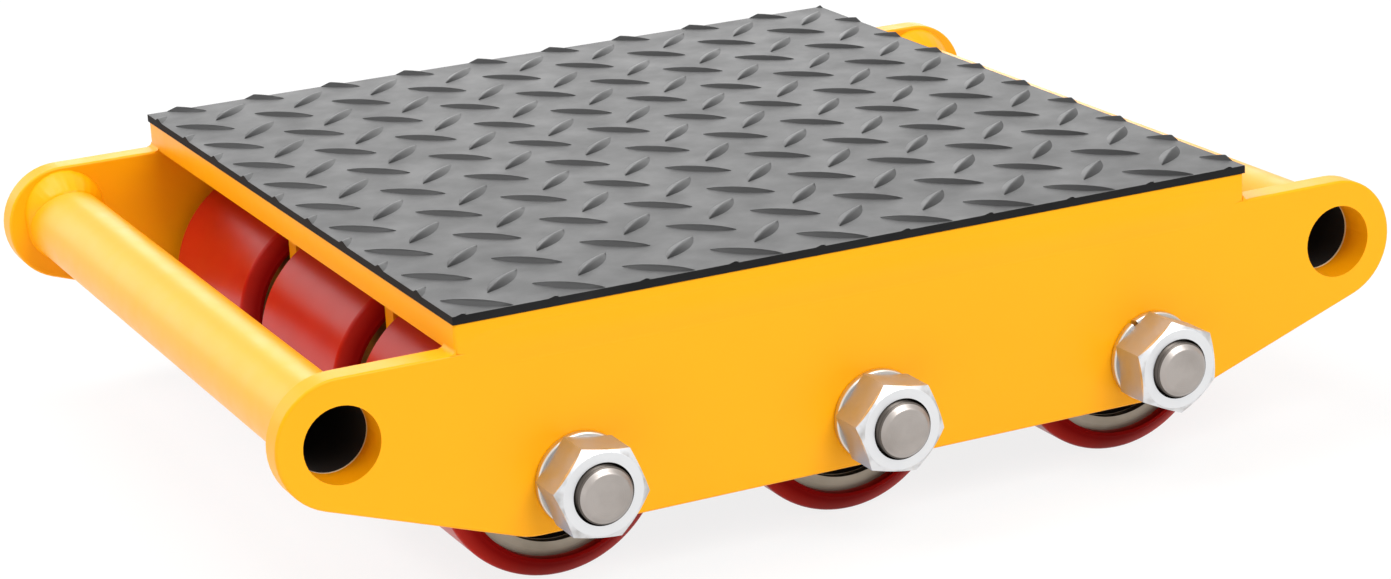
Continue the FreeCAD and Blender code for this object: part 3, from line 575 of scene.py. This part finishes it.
def buildCapBeads():
    low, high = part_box("platform_welds")
    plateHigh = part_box("side_plate_rear")[1]
    middle = (low.z + high.z) / 2
    mesh = bmesh.new()
    for side in (-1, 1):
        made = bmesh.ops.create_cube(mesh, size=1.0)["verts"]
        length = high.x - low.x - 2 * capBead["end"]
        bmesh.ops.scale(mesh, vec=(length, capBead["root"], high.z - low.z), verts=made)
        shift = (0, side * (plateHigh.y - capBead["root"] / 2), middle)
        bmesh.ops.translate(mesh, vec=shift, verts=made)
    longEdges = [e for e in mesh.edges if abs(e.verts[0].co.x - e.verts[1].co.x) > shortEdge]
    bmesh.ops.subdivide_edges(mesh, edges=longEdges, cuts=capBead["alongCuts"], use_grid_fill=True)
    tallEdges = [e for e in mesh.edges if abs(e.verts[0].co.z - e.verts[1].co.z) > shortEdge]
    bmesh.ops.subdivide_edges(mesh, edges=tallEdges, cuts=capBead["upCuts"], use_grid_fill=True)
    for vert in mesh.verts:
        if abs(vert.co.y) > plateHigh.y - capBead["root"] / 2:
            toEnd = min(1.0, (length / 2 - abs(vert.co.x)) / capBead["fade"])
            fade = toEnd * toEnd * (3 - 2 * toEnd)
            level = (vert.co.z - middle) / (high.z - middle)
            bulge = (high.y - plateHigh.y) * capBead["bulge"] * fade * (1 - level * level) ** 2
            sunk = capBead["sunk"] if toEnd > capBead["endShare"] else capBead["endSunk"]
            vert.co.y = math.copysign(plateHigh.y - sunk + bulge, vert.co.y)
    bmesh.ops.recalc_face_normals(mesh, faces=mesh.faces)
    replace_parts(placePiece("platformWeldCaps", mesh, "yellow_paint", capBead["crease"]), "platform_welds")


# platform plate with its upright and top edges rounded by the grinder
topPlate = {"upright": 1.4 * mm, "uprightSteps": 5, "edge": 0.4 * mm, "edgeSteps": 2, "crease": 50}


def buildTopPlate():
    low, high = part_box("top_plate")
    mesh = bmesh.new()
    bmesh.ops.create_cube(mesh, size=1.0)
    bmesh.ops.scale(mesh, vec=high - low, verts=mesh.verts)
    bmesh.ops.translate(mesh, vec=(low + high) / 2, verts=mesh.verts)
    uprights = [e for e in mesh.edges if abs(e.verts[0].co.z - e.verts[1].co.z) > shortEdge]
    bmesh.ops.bevel(mesh, geom=uprights, offset=topPlate["upright"], segments=topPlate["uprightSteps"],
                    profile=0.5, affect="EDGES", material=-1)
    rims = [e for e in mesh.edges if min(e.verts[0].co.z, e.verts[1].co.z) > high.z - mergeDistance]
    bmesh.ops.bevel(mesh, geom=rims, offset=topPlate["edge"], segments=topPlate["edgeSteps"],
                    profile=0.5, affect="EDGES", material=-1)
    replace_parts(placePiece("roundedTopPlate", mesh, "yellow_paint", topPlate["crease"]), "top_plate")


# return welds where the platform's ends stand on the side plates, ground to a small hollow curve
cornerWeld = {
    "along": 1.8 * mm, "up": 1.6 * mm, "root": 0.3 * mm, "inset": 0.1 * mm, "arc": 8, "crease": 40,
}


def buildCornerWelds():
    low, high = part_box("top_plate")
    plateLow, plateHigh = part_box("side_plate_rear")
    width = plateHigh.y - plateLow.y - 2 * cornerWeld["inset"]
    outline = [(-cornerWeld["root"], -cornerWeld["root"]), (cornerWeld["along"], -cornerWeld["root"])]
    for i in range(cornerWeld["arc"] + 1):
        t = math.pi / 2 * i / cornerWeld["arc"]
        outline.append((cornerWeld["along"] * (1 - math.sin(t)), cornerWeld["up"] * (1 - math.cos(t))))
    outline.append((-cornerWeld["root"], cornerWeld["up"]))
    mesh = bmesh.new()
    for x, out in ((low.x, -1), (high.x, 1)):
        for side in (-1, 1):
            y = side * (plateLow.y + plateHigh.y) / 2 - width / 2
            corners = [mesh.verts.new((x + out * a, y, low.z + u)) for a, u in outline]
            cap = mesh.faces.new(corners)
            grown = bmesh.ops.extrude_face_region(mesh, geom=[cap], use_keep_orig=True)["geom"]
            moved = [part for part in grown if isinstance(part, bmesh.types.BMVert)]
            bmesh.ops.translate(mesh, vec=(0, width, 0), verts=moved)
    bmesh.ops.recalc_face_normals(mesh, faces=mesh.faces)
    placePiece("cornerWelds", mesh, "yellow_paint", cornerWeld["crease"])


# rubber mat with its moulded bars: ridged, pointed lenses that lean both ways by turns, cut off at the edges
treadMat = {
    "barLength": 26 * mm, "barWidth": 6.6 * mm, "barHeight": 1.3 * mm, "crest": 0.5 * mm, "fullness": 0.75,
    "shoulder": 0.7, "tip": 0.985, "stations": 14, "sunk": 0.2 * mm, "edgeInset": 0.02 * mm,
    "pitch": (32.6 * mm, 34.5 * mm), "margin": (12.6 * mm, 9.9 * mm), "leans": ((-45, 0.0), (45, -0.5)),
    "crestShare": 0.3, "crease": 40,
}


def buildTreadMat():
    low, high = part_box("rubber_mat")
    flat = high.z - treadMat["barHeight"]
    rings = []
    for i in range(treadMat["stations"] + 1):
        t = -treadMat["tip"] * math.cos(math.pi * i / treadMat["stations"])
        half = treadMat["barWidth"] / 2 * (1 - t * t)
        rise = treadMat["barHeight"] * (1 - t * t) ** treadMat["fullness"]
        crest = min(treadMat["crest"] / 2, treadMat["crestShare"] * half)
        shoulder = half + (crest - half) * treadMat["shoulder"]
        section = [(half, -treadMat["sunk"]), (half, 0)]
        section += [(shoulder, rise * treadMat["shoulder"]), (crest, rise)]
        section += [(-s, z) for s, z in reversed(section)]
        rings.append([(t * treadMat["barLength"] / 2, s, z) for s, z in section])
    mesh = bmesh.new()
    for lean, shift in treadMat["leans"]:
        turn = Matrix.Rotation(math.radians(lean), 4, "Z")
        first = [corner + margin + shift * pitch for corner, margin, pitch in zip(
            (low.x, low.y), treadMat["margin"], treadMat["pitch"])]
        counts = [math.ceil(size / pitch) + 2 for size, pitch in zip(high - low, treadMat["pitch"])]
        for column in range(counts[0]):
            for row in range(counts[1]):
                x, y = first[0] + column * treadMat["pitch"][0], first[1] + row * treadMat["pitch"][1]
                place = Matrix.Translation((x, y, flat)) @ turn
                loops = [[mesh.verts.new(place @ Vector(spot)) for spot in ring] for ring in rings]
                for back, ahead in zip(loops, loops[1:]):
                    for k in range(len(back)):
                        n = (k + 1) % len(back)
                        mesh.faces.new((back[k], back[n], ahead[n], ahead[k]))
                mesh.faces.new(loops[0])
                mesh.faces.new(loops[-1])
    inset = treadMat["edgeInset"]
    for x, y, out in ((low.x + inset, 0, (-1, 0, 0)), (high.x - inset, 0, (1, 0, 0)),
                      (0, low.y + inset, (0, -1, 0)), (0, high.y - inset, (0, 1, 0))):
        geom = mesh.verts[:] + mesh.edges[:] + mesh.faces[:]
        bmesh.ops.bisect_plane(mesh, geom=geom, plane_co=(x, y, 0), plane_no=out, clear_outer=True)
        bmesh.ops.holes_fill(mesh, edges=mesh.edges, sides=0)
    slab = bmesh.ops.create_cube(mesh, size=1.0)["verts"]
    bmesh.ops.scale(mesh, vec=(high.x - low.x, high.y - low.y, flat - low.z), verts=slab)
    middle = ((low.x + high.x) / 2, (low.y + high.y) / 2, (low.z + flat) / 2)
    bmesh.ops.translate(mesh, vec=middle, verts=slab)
    bmesh.ops.recalc_face_normals(mesh, faces=mesh.faces)
    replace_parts(placePiece("ridgedTreadMat", mesh, "mat_rubber", treadMat["crease"]), "rubber_mat")


buildAxles()
buildWashers()
buildTubeBeads()
buildCapBeads()
buildTopPlate()
buildCornerWelds()
buildTreadMat()
print("detail pieces ready")


# studio: pale floor, white surround and soft boxes, kept off the camera's own view
studio = {
    "floorSize": 14.0, "floorGap": 0.2 * mm, "floorTone": "F6F6F6", "floorWhite": 0.84, "skyLevel": 0.42,
    "boxes": {
        "topBox": {"place": (-0.5, 0.5, 2.0), "size": 1.2, "watts": 20},
        "frontBox": {"place": (0.5, -1.7, 1.9), "size": 1.5, "watts": 42},
        "leftBox": {"place": (-1.25, 0.25, 1.6), "size": 0.6, "watts": 11},
        "lowLeftBox": {"place": (-2.1, -0.9, 0.4), "size": 1.0, "watts": 2},
        "backLeftBox": {"place": (-1.0, 2.1, 0.8), "size": 1.2, "watts": 5},
        "backRightBox": {"place": (1.0, 2.2, 0.75), "size": 1.5, "watts": 12},
    },
}


# 1 for the rays that show white: from the camera, off a shiny surface or through glass
def shownRays(tree):
    rays = addNode(tree, "ShaderNodeLightPath").outputs
    direct = addNode(tree, "ShaderNodeMath", {
        0: rays["Is Camera Ray"], 1: rays["Is Glossy Ray"]}, operation="MAXIMUM")
    shown = addNode(tree, "ShaderNodeMath", {
        0: direct.outputs[0], 1: rays["Is Transmission Ray"]}, operation="MAXIMUM")
    return shown.outputs[0]


def buildStudio():
    world = bpy.data.worlds.new("whiteSurround")
    world.use_nodes = True
    tree = world.node_tree
    tree.nodes.clear()
    shown = shownRays(tree)
    level = addNode(tree, "ShaderNodeMapRange", {
        "Value": shown, "To Min": studio["skyLevel"], "To Max": 1.0})
    sky = addNode(tree, "ShaderNodeBackground", {"Color": (1, 1, 1, 1), "Strength": level.outputs["Result"]})
    addNode(tree, "ShaderNodeOutputWorld", {"Surface": sky.outputs[0]})
    bpy.context.scene.world = world

    floorHeight = cadBox[0][2] - studio["floorGap"]
    bpy.ops.mesh.primitive_plane_add(size=studio["floorSize"], location=(0, 0, floorHeight))
    floor = bpy.context.object
    floor.name = "floor"
    paper, tree = newTree("whitePaper")
    shown = shownRays(tree)
    share = addNode(tree, "ShaderNodeMapRange", {
        "Value": shown, "To Min": 0.0, "To Max": studio["floorWhite"]})
    matt = addNode(tree, "ShaderNodeBsdfDiffuse", {"Color": hexColour(studio["floorTone"])})
    white = addNode(tree, "ShaderNodeEmission", {"Color": (1, 1, 1, 1), "Strength": 1.0})
    mixed = addNode(tree, "ShaderNodeMixShader", {
        0: share.outputs["Result"], 1: matt.outputs[0], 2: white.outputs[0]})
    addNode(tree, "ShaderNodeOutputMaterial", {"Surface": mixed.outputs[0]})
    floor.data.materials.append(paper)

    aim = Vector((0, 0, axleHeight))
    for name, box in studio["boxes"].items():
        lamp = bpy.data.lights.new(name, "AREA")
        lamp.shape = "SQUARE"
        lamp.size = box["size"]
        lamp.energy = box["watts"]
        holder = bpy.data.objects.new(name, lamp)
        holder.location = box["place"]
        holder.rotation_euler = (aim - holder.location).to_track_quat("-Z", "Y").to_euler()
        holder.visible_camera = False
        bpy.context.scene.collection.objects.link(holder)


buildStudio()
print("studio ready")

# camera: angles in degrees, found by matching the skate's corners and axle ends in the photograph
view = {
    "azimuth": 25.14, "elevation": 17.24, "roll": -3.07,
    "target": (-13.41 * mm, -49.16 * mm, 60 * mm), "distance": 1284.2 * mm,
    "sensor": 36.0, "focalPixels": 3505.3, "photoWidth": 1391, "farClip": 100,
}


def buildCamera():
    azimuth, elevation, roll = (math.radians(view[k]) for k in ("azimuth", "elevation", "roll"))
    ahead = Vector((
        math.sin(azimuth) * math.cos(elevation),
        math.cos(azimuth) * math.cos(elevation),
        -math.sin(elevation)))
    level = ahead.cross(Vector((0, 0, 1))).normalized()
    upright = level.cross(ahead)
    right = math.cos(roll) * level + math.sin(roll) * upright
    up = math.cos(roll) * upright - math.sin(roll) * level
    data = bpy.data.cameras.new("photoCamera")
    data.sensor_fit = "HORIZONTAL"
    data.sensor_width = view["sensor"]
    data.lens = view["focalPixels"] / view["photoWidth"] * view["sensor"]
    data.clip_end = view["farClip"]
    camera = bpy.data.objects.new("photoCamera", data)
    facing = Matrix((right, up, -ahead)).transposed().to_4x4()
    camera.matrix_world = Matrix.Translation(Vector(view["target"]) - ahead * view["distance"]) @ facing
    bpy.context.scene.collection.objects.link(camera)
    bpy.context.scene.camera = camera


buildCamera()
bpy.context.scene.view_settings.view_transform = "Standard"
print("camera ready")
